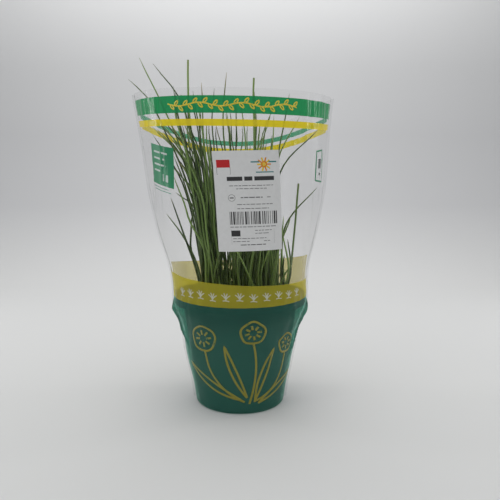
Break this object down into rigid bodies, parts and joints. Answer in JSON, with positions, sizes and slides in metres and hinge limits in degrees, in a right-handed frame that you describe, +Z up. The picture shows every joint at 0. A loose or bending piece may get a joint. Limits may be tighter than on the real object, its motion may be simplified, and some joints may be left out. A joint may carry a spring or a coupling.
{
  "type": "potted chive bunch in a film sleeve",
  "caption": "Chives growing in a small tapered plastic herb pot, wrapped in a flared clear film sleeve with printed bands and a paper label.",
  "frame": {"origin": "middle of the pot's base, on the surface that it stands on", "axes": "+Z up, with the label and the sleeve's front towards -Y"},
  "size_m": [0.1826, 0.1604, 0.3111],
  "materials": {
    "pot": "black moulded plastic, satin",
    "soil": "dark crumbly peat soil",
    "chives": "waxy green leaves",
    "film": "thin clear film with green and yellow printing",
    "label": "white paper with plain grey printing"
  },
  "bodies": {
    "root": {"pot": "pot", "soil": "soil", "chives_left_front": "chives", "chives_left_back": "chives", "chives_middle_front": "chives", "chives_middle": "chives", "chives_middle_back": "chives", "chives_right_front": "chives", "chives_right_back": "chives", "sleeve_front": "film", "sleeve_back": "film", "label": "label"}
  },
  "joints": []
}
